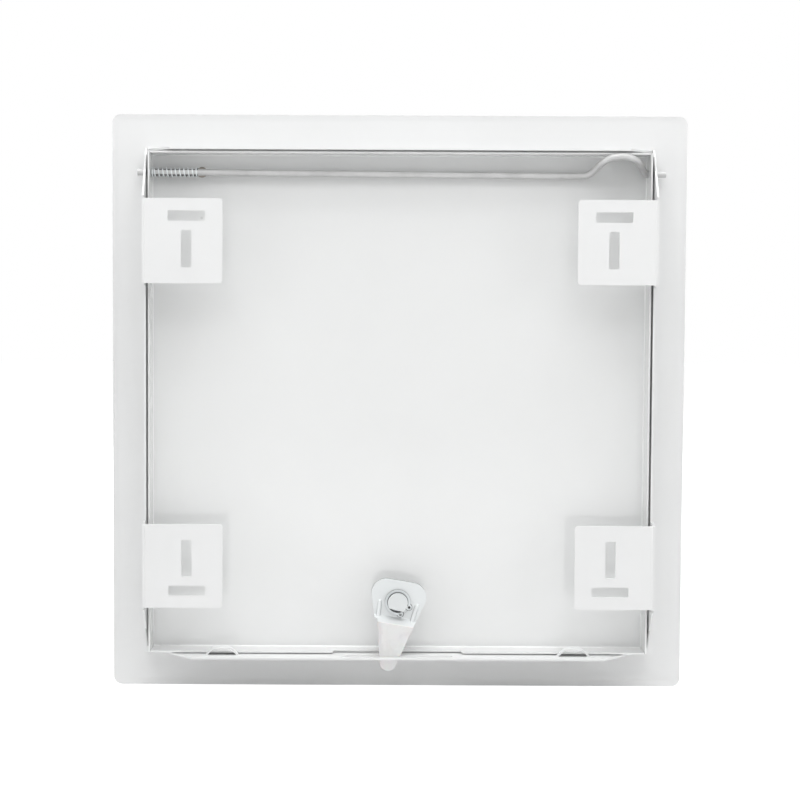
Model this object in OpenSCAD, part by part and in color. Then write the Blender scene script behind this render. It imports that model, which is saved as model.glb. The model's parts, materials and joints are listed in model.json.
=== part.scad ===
// Metal access panel: a folded steel frame with four slotted mounting tabs, a pan door on a
// spring-loaded hinge rod, and a turn latch whose tongue passes through a slot in the frame.
// The origin is the centre of the opening, in the plane of the flange's back face, where the
// flange meets the wall. X runs across, +Z is up and +Y runs into the wall. Millimetres.

/* [Frame] */
// Width over the side walls
body_w = 304.5; // [290:0.5:310]
// Height over the top and bottom walls
body_h = 304.5; // [290:0.5:310]
// Reach of the flange beyond the walls, with its rim
flange_w = 20.75; // [12:0.25:40]
// Thickness of the frame's sheet
sheet_t = 1.2; // [0.9:0.1:1.5]
// Inner radius of the frame's bends
bend_r = 0.8; // [0.5:0.1:1.2]
// Radius of the flange's corners
corner_r = 5; // [2:0.5:10]
// Width of the bevelled rim
rim_w = 5; // [3:0.5:8]
// How far the rim's edge leans back towards the wall
rim_rise = 1; // [0.5:0.1:1.5]

/* [Walls] */
// Depth of the frame at the tabs and at the bottom wall
frame_depth = 26.7; // [25:0.1:32]
// Depth of the top wall
top_depth = 17.5; // [17:0.1:20]
// Depth of the side walls between the tabs
side_depth = 17.8; // [17:0.1:20]
// Depth of the side walls at their top corners
side_top_corner = 9; // [7:0.5:12]
// Depth of the side walls at their bottom corners
side_bottom_corner = 4.5; // [3:0.5:8]
// Depth of the top wall at its ends
top_corner = 2; // [1.5:0.5:6]
// Depth of the bottom wall at its ends
bottom_corner = 4; // [3:0.5:8]
// Length of the bottom wall at its full depth
bottom_full = 246; // [200:1:250]
// Distance of the centring dimples from the middle
dimple_x = 75.5; // [50:0.5:100]
// Diameter of a centring dimple
dimple_d = 5; // [3:0.5:6]
// Distance of the door stops from the middle
stop_x = 105.5; // [80:0.5:110]
// Half the width of a door stop's level top
stop_top = 4.3; // [3:0.1:6]
// Height of a door stop over the bottom wall
stop_h = 4.4; // [3:0.1:6]
// Slope of a door stop's legs, in degrees
stop_slope = 43; // [35:1:60]
// Radius of a door stop's upper corners
stop_r = 3; // [1.5:0.1:3.5]
// Thickness of a door stop's stretched sheet
stop_t = 0.9; // [0.7:0.05:1.1]

/* [Tabs] */
// Reach of a tab from the wall's outer face
tab_reach = 47.5; // [42:0.5:60]
// Height of a tab
tab_h = 50; // [47:0.5:60]
// Distance of a tab's outer end from the end of the body
tab_inset = 30.8; // [29:0.1:45]
// Radius of a tab's free corners
tab_r = 2; // [1:0.5:5]
// Width of the relief notch at each end of a tab's fold
relief_w = 1.6; // [1:0.1:3]
// Width of a slot
slot_w = 6.2; // [5:0.1:7]
// Length of a slot
slot_l = 22; // [16:0.5:24]
// Radius of a slot's corners
slot_r = 0.9; // [0.3:0.1:2]
// Distance of the slots' centre line from the wall's outer face
slot_line = 26.2; // [20:0.1:30]
// Distance of the cross slot's centre from the tab's outer end
cross_slot_in = 10.3; // [8:0.1:14]
// Distance between the centres of the two slots of a tab
slot_pitch = 19.4; // [16:0.1:24]

/* [Door] */
// Gap between the door and the frame's top and side walls
door_gap = 1.05; // [1:0.05:1.6]
// Gap between the door and the frame's bottom wall
door_low_gap = 0.65; // [0.5:0.05:1.2]
// Thickness of the door's sheet
door_t = 1; // [0.8:0.1:1.2]
// Depth of the door over its lips
door_depth = 17; // [14:0.5:17]
// Outer radius of the door's bends
door_bend = 2; // [1.5:0.1:3]
// Gap of the open seam at each corner of the lips
seam = 0.4; // [0.2:0.1:0.8]
// Length of the shallow recess at the latch
recess_l = 78.2; // [70:0.1:90]
// Depth of the shallow recess at the latch
recess_depth = 5; // [3:0.5:7]

/* [Hinge rod] */
// Diameter of the rod
rod_d = 4; // [3:0.1:4.2]
// Distance of the hinge axis below the door's top edge
axis_drop = 11.9; // [11:0.1:14]
// Distance of the hinge axis behind the door's front face
axis_back = 6.2; // [5.5:0.1:6.5]
// Radial clearance of the rod in its holes
rod_clear = 0.08; // [0.04:0.01:0.1]
// How far the pin on the spring's side stands out of the wall
spring_pin_out = 5; // [4:0.1:8]
// How far the pin on the loop's side stands out of the wall
loop_pin_out = 7.2; // [5:0.1:8]
// How far the long run ends out of line with the pins
run_offset = 1.9; // [0:0.1:2.2]
// How far the finger loop leans back from upright, in degrees
loop_lean = 53.5; // [53:0.5:70]
// Height of the finger loop above the axis, along its lean
loop_h = 15.9; // [15:0.1:18]
// Slope of the finger loop's rising leg, in degrees
rise_slope = 59; // [50:1:62]
// Slope of the finger loop's falling leg, in degrees
fall_slope = 63; // [50:1:65]
// Radius of the finger loop's crown
loop_crown_r = 13.2; // [9:0.1:13.5]
// Radius of the bend from the long run into the loop
loop_foot_r = 7.5; // [6:0.5:12]

/* [Spring] */
// Length of the fitted spring
spring_l = 28.2; // [24:0.1:34]
// Outer diameter of the spring
spring_d = 6; // [5.4:0.1:6.6]
// Wire diameter of the spring
spring_wire = 0.9; // [0.6:0.05:1]
// Number of turns
spring_turns = 12; // [8:1:14]
// Length of the swaged ears that stop the spring
ear_l = 4.4; // [3:0.1:6]
// Width over the swaged ears
ear_span = 6.4; // [6:0.1:7]
// Thickness of the swaged ears
ear_t = 1.8; // [1:0.1:2.4]

/* [Latch] */
// Height of the latch's axis above the door's bottom edge
latch_rise = 31.3; // [28:0.1:36]
// Diameter of the stud
stud_d = 12; // [10:0.5:12]
// Depth of the stud's end
stud_end = 20.5; // [19.5:0.1:24]
// Distance of the stud's flat from its axis
stud_flat = 4.4; // [4:0.1:4.8]
// Lean of the stud's flat from level, in degrees
flat_lean = 14; // [0:0.5:20]
// Diameter of the stud's head on the front
head_d = 24; // [18:0.5:28]
// Height of the stud's head
head_h = 1.6; // [1:0.1:2.4]
// Width of the driver slot in the head
driver_w = 2.4; // [1.6:0.1:3]
// Length of the driver slot in the head
driver_l = 15; // [10:0.5:18]
// Depth of the front of the cam
cam_y = 14.9; // [14.5:0.1:15.5]
// Thickness of the cam
cam_t = 2; // [1.5:0.1:2.2]
// Half the cam's width level with the stud
cam_half = 15.7; // [14:0.1:17]
// Taper of the cam's sides beside the stud, in degrees
cam_taper = 17; // [12:0.5:20]
// Height of the cam above the stud's axis
cam_top = 13.2; // [12:0.1:16]
// Radius of the cam's large corners
cam_corner_r = 9; // [7:0.5:10]
// Radius of the ribs pressed into the cam beside the crank
rib_r = 1.3; // [1:0.1:1.5]
// Distance of the ribs' domed ends from the cam's sides
rib_in = 4.6; // [4:0.1:5.5]
// How far the cam's crank raises the tongue
cam_rise = 5.5; // [4.5:0.1:6]
// Where the crank starts below the stud's axis
crank_start = 10.3; // [9.8:0.1:11]
// Length of the crank along the cam
crank_l = 3.4; // [3:0.1:5]
// Reach of the tongue's tip, with its sleeve, from the stud's axis
tongue_reach = 40.9; // [39:0.1:43]
// Radius of the tongue's tip, with its sleeve
tongue_r = 5.2; // [4:0.1:6]
// Taper of the tongue's sides, in degrees
tongue_taper = 13.5; // [10:0.5:15]
// How much steeper one side of the tongue is than the other, halved, in degrees
tongue_skew = 1.5; // [0:0.5:2]
// Lean of the tongue from upright, in degrees
cam_lean = 9.5; // [0:0.5:12]
// Wall of the tongue's sleeve
sleeve_wall = 0.8; // [0.5:0.1:1]
// Thickness of the retaining ring
ring_t = 1; // [0.8:0.1:1.2]
// Outer radius of the retaining ring
ring_r = 7.7; // [7:0.1:8]
// Outer diameter of the spacer bush
bush_d = 18; // [16:0.5:20]
// Height of the wave washer under the bush
wave_h = 1.1; // [0.9:0.1:1.4]
// Thickness of the wave washer's sheet
wave_t = 0.4; // [0.3:0.1:0.6]

/* [Strike slot] */
// Length of the slot in the bottom wall
strike_l = 66.4; // [64:0.2:80]
// Depth of the slot's front edge
strike_from = 18.4; // [18:0.1:19.2]
// Width of the slot
strike_w = 6.1; // [5.6:0.1:6.4]

/* [Hidden] */
$fn = 64;

// A little more than touching, so that cuts run right through
over = 1;
// How far a round runs past the straight edges that it joins, so that they cross cleanly
tuck = 0.01;
// Gap between pieces that lie against each other
touch = 0.05;
// Radial clearance of the stud in the door and of what turns round it
stud_clear = 0.05;

white_paint = [0.93, 0.94, 0.94];
zinc = [0.74, 0.76, 0.78];
spring_steel = [0.62, 0.63, 0.65];
white_plastic = [0.95, 0.95, 0.94];
dark_steel = [0.42, 0.43, 0.45];

// Frame: inner faces of the walls, and the bend from flange to wall
front_y = -sheet_t;
panel_w = body_w + 2 * flange_w;
panel_h = body_h + 2 * flange_w;
wall_x = body_w / 2 - sheet_t;
wall_z = body_h / 2 - sheet_t;
bend_out = bend_r + sheet_t;
tab_top = body_h / 2 - tab_inset;
tab_mid = tab_top - tab_h / 2;
strike_mid = strike_from + strike_w / 2;

// Door
door_w = 2 * (wall_x - door_gap);
door_top = wall_z - door_gap;
door_low = -wall_z + door_low_gap;
door_h = door_top - door_low;
door_mid = (door_top + door_low) / 2;
door_back = front_y + door_depth;
door_inner = front_y + door_t;
lip_x = door_w / 2 - door_t;

// Hinge axis
axis_y = front_y + axis_back;
axis_z = door_top - axis_drop;
rod_r = rod_d / 2;
hole_r = rod_r + rod_clear;

// Hinge rod: the long run, the bend into the loop, the loop's legs and the bend to the pin
ear_x = lip_x - touch - spring_l;
run_x = ear_x - ear_l;
loop_x = -lip_x + touch;
elbow_r = rod_r + 0.6;
elbow_rise = elbow_r * (1 - cos(fall_slope));
fall_drop = loop_crown_r * (1 - cos(fall_slope));
leg_down = (loop_h - fall_drop - elbow_rise) / sin(fall_slope);
crown_x = loop_x + (elbow_r + loop_crown_r) * sin(fall_slope) + leg_down * cos(fall_slope);
foot_rise = loop_foot_r * (1 - cos(rise_slope));
rise_drop = loop_crown_r * (1 - cos(rise_slope));
leg_up = (loop_h + run_offset - foot_rise - rise_drop) / sin(rise_slope);
foot_x = crown_x + (loop_crown_r + loop_foot_r) * sin(rise_slope) + leg_up * cos(rise_slope);
run_tilt = atan2(run_x - foot_x, loop_foot_r - run_offset)
    - acos(loop_foot_r / norm([run_x - foot_x, loop_foot_r - run_offset]));
run_length = sqrt(pow(run_x - foot_x, 2) + pow(loop_foot_r - run_offset, 2) - pow(loop_foot_r, 2));
// A bend is a hair fatter than the straight wire, and takes its end in by this much
bend_swell = 0.02;
bend_grip = 0.15;

// Latch
latch_z = door_low + latch_rise;
stud_r = stud_d / 2;
ring_y = cam_y + cam_t + touch;
groove_r = stud_r - 0.5;
tongue_y = cam_y + cam_rise;
bush_y = door_inner + wave_h + touch;
// The cam's bare neck ends here, and the sleeve's rear and side walls start just below. Its front
// wall starts lower, clear of the crank's bend.
neck_v = -(crank_start + crank_l - 1.35);
sleeve_top = neck_v - touch;
sleeve_front = -(crank_start + crank_l + 0.2);
ring_gap_mid = -51;
ring_gap_half = 27;
ear_boss_r = 1.8;
// How far below the crank's start the cam's plate ends, and the drop to the neck's full width
cam_jog = 0.4;
jog_drop = 0.6;
ear_hole_r = 0.85;
// The ribs' places: sideways shift of the pair, drop of their ends below the stud's axis, how much
// they close in on each other, and how far their feet sink into the crank
rib_shift = 0.5;
rib_drop = 0.7;
rib_turn = 0.8;
rib_sink = 0.5;

// Draws a flat outline as it is seen from behind, and gives it thickness from depth y on
module plate_from_behind(y, t)
    translate([0, y, 0]) rotate([90, 0, 180]) linear_extrude(t) children();

// Extrudes a profile drawn as [x, depth] along Z
module along_z(length)
    translate([0, 0, -length / 2]) linear_extrude(length) children();

// Extrudes a profile drawn as [z, depth] along X
module along_x(length)
    translate([length / 2, 0, 0]) rotate([0, -90, 0]) linear_extrude(length) children();

// A cylinder along X from x = a to x = b, on the hinge axis
module pin_along_x(a, b, r)
    translate([min(a, b), axis_y, axis_z]) rotate([0, 90, 0]) cylinder(r = r, h = abs(b - a));

// A cylinder along Y from depth a to depth b, on the latch's axis
module stud_along_y(a, b, r)
    translate([0, a, latch_z]) rotate([-90, 0, 0]) cylinder(r = r, h = b - a);

// A rectangle with rounded corners, centred on the origin
module rounded_rect(w, h, r) {
    square([w - 2 * r, h], center = true);
    square([w, h - 2 * r], center = true);
    for (sx = [-1, 1], sz = [-1, 1])
        translate([sx * (w / 2 - r), sz * (h / 2 - r)]) circle(r);
}

// Profile of the flange's front half-space: flat, and leaning back over the rim
module rim_profile(w, y, top)
    polygon([[-w / 2, top], [-w / 2, y + rim_rise], [-w / 2 + rim_w, y],
             [w / 2 - rim_w, y], [w / 2, y + rim_rise], [w / 2, top]]);

// The flange as one sheet with a bevelled rim
module flange_sheet() {
    top = 4 * sheet_t;
    difference() {
        intersection() {
            along_z(panel_h) rim_profile(panel_w, front_y, top);
            along_x(panel_w) rim_profile(panel_h, front_y, top);
            plate_from_behind(front_y, 2 * top) rounded_rect(panel_w, panel_h, corner_r);
        }
        intersection() {
            along_z(panel_h + over) rim_profile(panel_w + over, 0, top + over);
            along_x(panel_w + over) rim_profile(panel_h + over, 0, top + over);
        }
    }
}

// Profile of the opening through the frame, flared where the flange turns into the wall
module opening_profile(half) {
    translate([-half, front_y - over]) square([2 * half, frame_depth + sheet_t + 2 * over]);
    difference() {
        translate([-half - bend_out, front_y - over]) square([2 * (half + bend_out), bend_out + over]);
        for (s = [-1, 1])
            translate([s * (half + bend_out), front_y + bend_out]) circle(bend_out + tuck);
    }
}

// Profile of the block that the walls stand in, with the bend's inner radius at its foot
module wall_block_profile(half) {
    outer = half + sheet_t;
    translate([-outer, front_y + bend_out]) square([2 * outer, frame_depth - bend_r]);
    difference() {
        translate([-outer - bend_r, front_y + sheet_t / 2])
            square([2 * (outer + bend_r), bend_r + sheet_t / 2]);
        for (s = [-1, 1]) translate([s * (outer + bend_r), bend_r]) circle(bend_r + tuck);
    }
}

// The top wall's outline, drawn as [x, depth]
function top_wall_points() =
    [[-body_w / 2, front_y - over], [-body_w / 2, top_corner],
     [-body_w / 2 + top_depth - top_corner, top_depth],
     [body_w / 2 - top_depth + top_corner, top_depth],
     [body_w / 2, top_corner], [body_w / 2, front_y - over]];

// The bottom wall's outline, drawn as [x, depth]
function bottom_wall_points() =
    let (half = bottom_full / 2, foot = half + frame_depth - bottom_corner)
    [[-body_w / 2, front_y - over], [-body_w / 2, bottom_corner], [-foot, bottom_corner],
     [-half, frame_depth], [half, frame_depth],
     [foot, bottom_corner], [body_w / 2, bottom_corner], [body_w / 2, front_y - over]];

// A side wall's outline, drawn as [z, depth], with the relief notches beside the tabs
function side_wall_points() =
    let (end = body_h / 2, notch = frame_depth - bend_out - sheet_t)
    [[-end, front_y - over], [-end, side_bottom_corner],
     [-tab_top - relief_w, frame_depth - sheet_t / 2], [-tab_top - relief_w, notch],
     [-tab_top, notch], [-tab_top, frame_depth],
     [-tab_top + tab_h, frame_depth], [-tab_top + tab_h, notch],
     [-tab_top + tab_h + relief_w, notch], [-tab_top + tab_h + relief_w, side_depth],
     [tab_top - tab_h - relief_w, side_depth], [tab_top - tab_h - relief_w, notch],
     [tab_top - tab_h, notch], [tab_top - tab_h, frame_depth],
     [tab_top, frame_depth], [tab_top, notch],
     [tab_top + relief_w, notch], [tab_top + relief_w, frame_depth - sheet_t / 2],
     [end, side_top_corner], [end, front_y - over]];

// The four walls, cut to their outlines and bent out of the flange
module walls() {
    intersection() {
        along_z(body_h + 2 * bend_r) wall_block_profile(wall_x);
        along_x(body_w + 2 * bend_r) wall_block_profile(wall_z);
        union() {
            translate([0, 0, wall_z]) along_z_up(2 * bend_out) polygon(top_wall_points());
            translate([0, 0, -wall_z]) mirror([0, 0, 1]) along_z_up(2 * bend_out)
                polygon(bottom_wall_points());
            for (s = [-1, 1]) translate([s * (wall_x + bend_out), 0, 0])
                along_x(2 * bend_out) polygon(side_wall_points());
            foot_block();
        }
    }
}

// Extrudes a profile drawn as [x, depth] upwards from z = 0
module along_z_up(length)
    linear_extrude(length) children();

// The low block that keeps the bends whole all round, corners included
module foot_block()
    translate([-body_w / 2 - bend_r, front_y, -body_h / 2 - bend_r])
        cube([body_w + 2 * bend_r, sheet_t + bend_r, body_h + 2 * bend_r]);

// The tab's fold and plate, drawn as [x, depth] for the +X wall
module tab_profile() {
    fold_x = body_w / 2 - bend_out;
    fold_y = frame_depth - bend_out;
    difference() {
        intersection() {
            translate([fold_x, fold_y]) circle(bend_out);
            translate([fold_x, fold_y]) square(bend_out + over);
        }
        translate([fold_x, fold_y]) circle(bend_r);
    }
    translate([body_w / 2 - tab_reach, frame_depth - sheet_t])
        square([fold_x - body_w / 2 + tab_reach, sheet_t]);
    translate([wall_x, fold_y - bend_out]) square([sheet_t, bend_out]);
}

// One mounting tab on the +X side, near the top
module tab() {
    free_x = body_w / 2 - tab_reach;
    difference() {
        translate([0, 0, tab_mid]) along_z(tab_h) tab_profile();
        // rounded free corners
        for (s = [-1, 1]) translate([free_x, frame_depth - 2 * sheet_t, tab_mid + s * tab_h / 2])
            rotate([-90, 0, 0]) difference() {
                cube([2 * tab_r, 2 * tab_r, 8 * sheet_t], center = true);
                translate([tab_r, s * tab_r, 0]) cylinder(r = tab_r, h = 8 * sheet_t + over, center = true);
            }
        tab_slot(tab_top - cross_slot_in, 0);
        tab_slot(tab_top - cross_slot_in - slot_pitch, 90);
    }
}

// One slot through a tab, turned to lie across or upright
module tab_slot(z, turn)
    translate([body_w / 2 - slot_line, frame_depth - 2 * sheet_t, z]) rotate([-90, turn, 0])
        linear_extrude(3 * sheet_t) rounded_rect(slot_l, slot_w, slot_r);

// The slot in the bottom wall that the latch's tongue sweeps through
module strike_slot()
    translate([0, strike_mid, -wall_z - 3 * sheet_t]) linear_extrude(5 * sheet_t)
        rounded_rect(strike_l, strike_w, strike_w / 2 - touch);

// Centring dimples, pressed in from the outside of the top and bottom walls. The door swings past
// them, so they stay lower than the gap that they centre it in.
dimple_y = 12.6;
function dimple_h(side) = side > 0 ? door_gap - 0.2 : door_low_gap - 0.25;
function dimple_ball(side) = (pow(dimple_d / 2, 2) + pow(dimple_h(side), 2)) / (2 * dimple_h(side));
module dimples(lift)
    for (sx = [-1, 1], side = [-1, 1])
        translate([sx * dimple_x, dimple_y, side * (wall_z - dimple_h(side) + dimple_ball(side) + lift)])
            sphere(dimple_ball(side), $fn = 24);

// Outline of a door stop seen from behind, drawn up from the wall, with margin m inwards. Its legs
// lie a hair inside the rounds of its corners, so that they cross cleanly.
module stop_outline(m, low) {
    r = stop_r - m;
    rr = r - tuck;
    mid = stop_h - stop_r;
    leg = stop_top + rr * sin(stop_slope) + (mid + rr * cos(stop_slope) - low) / tan(stop_slope);
    for (s = [-1, 1]) translate([s * stop_top, mid]) circle(r);
    polygon([[stop_top, mid + rr], [-stop_top, mid + rr],
             [-stop_top - rr * sin(stop_slope), mid + rr * cos(stop_slope)], [-leg, low],
             [leg, low], [stop_top + rr * sin(stop_slope), mid + rr * cos(stop_slope)]]);
}

// Both door stops: bridges cut and pressed up from the bottom wall, just behind the door's lip
stop_from = 16.2;
stop_deep = 3.7;
stop_slit = 0.1;
module stops(m, low, slit)
    for (s = [-1, 1]) translate([s * stop_x, 0, -wall_z])
        plate_from_behind(stop_from - slit, stop_deep + 2 * slit) stop_outline(m, low);

module frame() color(white_paint) difference() {
    union() {
        difference() {
            union() {
                flange_sheet();
                walls();
            }
            intersection() {
                along_z(body_h + 4 * bend_out) opening_profile(wall_x);
                along_x(body_w + 4 * bend_out) opening_profile(wall_z);
            }
        }
        for (sx = [0, 1], sz = [0, 1]) mirror([sx, 0, 0]) mirror([0, 0, sz]) tab();
        intersection() {
            dimples(0);
            cube([body_w, 4 * frame_depth, 2 * (wall_z + sheet_t / 2)], center = true);
        }
        stops(0, -sheet_t / 2, 0);
    }
    dimples(sheet_t);
    stops(stop_t, -sheet_t - over, stop_slit);
    strike_slot();
    pin_along_x(-body_w / 2 - over, -wall_x + over, hole_r);
    pin_along_x(wall_x - over, body_w / 2 + over, hole_r);
}

// Profile of a pan of this half width: straight sides and rounded front edges
module pan_profile(half, from, to, r) {
    translate([-half, from + r]) square([2 * half, to - from - r]);
    translate([-half + r, from]) square([2 * (half - r), r + over / 2]);
    for (s = [-1, 1]) translate([s * (half - r), from + r]) circle(r);
}

// A solid block with rounded front edges, mitred at its corners
module pan_block(w, h, from, to, r)
    intersection() {
        along_z(h) pan_profile(w / 2, from, to, r);
        along_x(w) pan_profile(h / 2, from, to, r);
    }

// The shallow recess in the bottom lip, drawn as [x, depth]
module recess_outline() {
    chamfer = 1.1;
    polygon([[-recess_l / 2 - over / 4, door_back + over], [-recess_l / 2 + chamfer, door_back - recess_depth],
             [recess_l / 2 - chamfer, door_back - recess_depth], [recess_l / 2 + over / 4, door_back + over]]);
}

module door() color(white_paint) difference() {
    translate([0, 0, door_mid]) pan_block(door_w, door_h, front_y, door_back, door_bend);
    translate([0, 0, door_mid])
        pan_block(door_w - 2 * door_t, door_h - 2 * door_t, door_inner, door_back + over,
                  door_bend - door_t);
    // open seams where the top and bottom lips meet the side lips
    for (sx = [-1, 1], sz = [-1, 1])
        translate([sx * (lip_x - seam / 2), (door_back + front_y + door_bend + over) / 2,
                   door_mid + sz * (door_h / 2 - door_t / 2)])
            cube([seam, door_back - front_y - door_bend + over, door_t + over], center = true);
    translate([0, 0, door_low + door_t / 2]) along_z(door_t + over) recess_outline();
    pin_along_x(-door_w / 2 - over, -lip_x + over, hole_r);
    pin_along_x(lip_x - over, door_w / 2 + over, hole_r);
    stud_along_y(front_y - over, door_inner + over, stud_r + stud_clear);
}

// Turns a shape drawn as [towards -X, along the loop's lean] into the plane of the bent rod
module in_rod_plane(x)
    translate([x, axis_y, axis_z]) rotate([-loop_lean, 0, 0]) rotate([90, 0, 180]) children();

// A bend of the rod: centre, bend radius, and the angles that it runs between
module rod_bend(centre, r, from, to)
    translate(centre) rotate([0, 0, from]) rotate_extrude(angle = to - from)
        translate([r, 0]) circle(rod_r + bend_swell);

// A straight stretch of the rod, drawn a little into what it joins at each end
module rod_leg(start, angle, length)
    translate(start) rotate([0, 0, angle]) rotate([0, 90, 0])
        translate([0, 0, -bend_grip]) cylinder(r = rod_r, h = length + 2 * bend_grip);

module hinge_rod() color(zinc) {
    crown_u = run_x - crown_x;
    foot_u = run_x - foot_x;
    loop_u = run_x - loop_x;
    foot_v = loop_foot_r - run_offset;
    // left pin, and the swaged ears that the spring bears on
    pin_along_x(body_w / 2 + spring_pin_out, run_x, rod_r);
    translate([ear_x - ear_l / 2, axis_y, axis_z]) rotate([90, 0, 0])
        linear_extrude(ear_t, center = true) intersection() {
            circle(d = ear_span);
            square([ear_l, ear_span + over], center = true);
        }
    in_rod_plane(run_x) {
        // the long run, slightly out of line with the pins
        sphere(rod_r + 2 * bend_swell);
        rotate([0, 0, -run_tilt]) rotate([0, 90, 0]) cylinder(r = rod_r, h = run_length + bend_grip);
        // foot bend, rising leg, crown, falling leg and last bend of the finger loop
        rod_bend([foot_u, foot_v, 0], loop_foot_r, -90 - run_tilt, -90 + rise_slope);
        rod_leg([foot_u + loop_foot_r * sin(rise_slope), foot_rise - run_offset, 0], rise_slope, leg_up);
        rod_bend([crown_u, loop_h - loop_crown_r, 0], loop_crown_r, 90 - fall_slope, 90 + rise_slope);
        rod_leg([crown_u + loop_crown_r * sin(fall_slope), loop_h - fall_drop, 0], -fall_slope, leg_down);
        rod_bend([loop_u, elbow_r, 0], elbow_r, -90 - fall_slope, -90);
    }
    // right pin
    pin_along_x(loop_x + bend_grip, -body_w / 2 - loop_pin_out, rod_r);
}

// Points round a circle of wire, facing along the coil at turn angle a
function wire_ring(a, x, coil_r, wire_r, sides) =
    [for (k = [0 : sides - 1]) let (b = 360 * k / sides, rr = coil_r + wire_r * cos(b))
        [x + wire_r * sin(b), rr * cos(a), rr * sin(a)]];

// Distance along the spring at a share s of its turns: closed ends, open middle
function coil_x(s, length, wire, turns) =
    let (closed = 1 / turns, rise = wire * 1.04, open = length - wire - 2 * rise)
    s < closed ? rise * s / closed :
    s > 1 - closed ? rise + open + rise * (s - 1 + closed) / closed :
    rise + open * (s - closed) / (1 - 2 * closed);

// The spring, swept ring by ring along its helix from x = 0
module coil(length, d, wire, turns) {
    steps = 16 * turns;
    sides = 8;
    wire_r = wire / 2;
    coil_r = d / 2 - wire_r;
    rings = [for (i = [0 : steps])
        wire_ring(360 * turns * i / steps, wire_r + coil_x(i / steps, length, wire, turns),
                  coil_r, wire_r, sides)];
    points = [for (ring = rings) for (p = ring) p];
    sheath = [for (i = [0 : steps - 1], k = [0 : sides - 1]) let (n = (k + 1) % sides)
        [i * sides + k, i * sides + n, (i + 1) * sides + n, (i + 1) * sides + k]];
    ends = [[for (k = [sides - 1 : -1 : 0]) k], [for (k = [0 : sides - 1]) steps * sides + k]];
    polyhedron(points, concat(sheath, ends), convexity = 4);
}

module rod_spring() color(spring_steel)
    translate([ear_x + touch, axis_y, axis_z])
        coil(spring_l - touch, spring_d, spring_wire, spring_turns);

module latch_stud() color(zinc) difference() {
    union() {
        stud_along_y(front_y - over, stud_end, stud_r);
        stud_along_y(front_y - touch - head_h, front_y - touch, head_d / 2);
    }
    // flat that drives the cam
    translate([0, 0, latch_z]) rotate([0, -flat_lean, 0])
        translate([-stud_d, cam_y - touch, -stud_flat - stud_d]) cube([2 * stud_d, stud_end, stud_d]);
    // groove for the retaining ring
    difference() {
        stud_along_y(ring_y - touch, ring_y + ring_t + touch, stud_r + over);
        stud_along_y(ring_y - over, ring_y + ring_t + over, groove_r);
    }
    // driver slot in the head
    translate([0, front_y - head_h, latch_z])
        cube([driver_l, head_h * 1.3, driver_w], center = true);
}

// A point on the tongue's side s of -1 or 1, at height v, with margin m
function tongue_side(s, v, m) =
    let (slope = tongue_taper + s * tongue_skew, r = tongue_r - sleeve_wall + m - tuck)
    [s * (r / cos(slope) + (v - tongue_r + tongue_reach) * tan(slope)), v];

// A point on the round of the tongue's tip, where its side s leaves it
function tip_side(s, m) =
    let (slope = tongue_taper + s * tongue_skew, r = tongue_r - sleeve_wall + m - tuck)
    [s * r * cos(slope), tongue_r - tongue_reach - r * sin(slope)];

// The tongue's outline seen from behind, pointing down, with margin m all round. Its straight
// edges lie a hair inside the round of its tip, so that they cross cleanly.
module tongue_outline(m) {
    root = -crank_start;
    translate([0, tongue_r - tongue_reach]) circle(tongue_r - sleeve_wall + m);
    polygon([tongue_side(1, root, m), tongue_side(-1, root, m), tip_side(-1, m), tip_side(1, m)]);
}

// The cam's outline seen from behind: the plate round the stud, and the tongue
module cam_outline() {
    slant = cos(cam_taper);
    lean = sin(cam_taper);
    r = cam_corner_r - tuck;
    corner_v = cam_top - cam_corner_r;
    corner_u = cam_half + tan(cam_taper) * corner_v - cam_corner_r / slant;
    side_u = corner_u + r * slant;
    side_v = corner_v - r * lean;
    jog_v = -crank_start - cam_jog;
    jog_u = side_u - (side_v - jog_v) * tan(cam_taper);
    for (s = [-1, 1]) translate([s * corner_u, corner_v]) circle(cam_corner_r);
    polygon([[corner_u, corner_v + r], [-corner_u, corner_v + r], [-side_u, side_v], [-jog_u, jog_v],
             tongue_side(-1, jog_v - jog_drop, sleeve_wall), tongue_side(-1, neck_v, sleeve_wall),
             tongue_side(1, neck_v, sleeve_wall), tongue_side(1, jog_v - jog_drop, sleeve_wall),
             [jog_u, jog_v], [side_u, side_v]]);
    tongue_outline(0);
}

// The cam's cranked profile, drawn as [up, depth]
module crank_profile() {
    step = cam_t * tan(atan(cam_rise / crank_l) / 2);
    high = cam_top + over;
    low = -tongue_reach - over;
    polygon([[high, cam_y], [-crank_start, cam_y], [-crank_start - crank_l, tongue_y],
             [low, tongue_y], [low, tongue_y + cam_t],
             [-crank_start - crank_l + step, tongue_y + cam_t],
             [-crank_start + step, cam_y + cam_t], [high, cam_y + cam_t]]);
}

// Sets a piece drawn with its tongue down at the latch's axis, leaned as the tongue is
module at_latch()
    translate([0, 0, latch_z]) rotate([0, -cam_lean, 0]) children();

// A rib on the cam, from its domed end beside the stud to its foot, which sinks into the crank
module cam_rib(side) {
    end = [-side * (cam_half - rib_in) - rib_shift, cam_y + cam_t - rib_r * 0.4, side * rib_shift - rib_drop];
    foot = [-side * (cam_half - rib_in - rib_turn), cam_y + cam_t + rib_r * 0.5, -crank_start - rib_sink];
    run = foot - end;
    translate(end) {
        sphere(rib_r + bend_swell, $fn = 32);
        rotate([0, acos(run.z / norm(run)), atan2(run.y, run.x)]) cylinder(r = rib_r, h = norm(run));
    }
}

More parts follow.
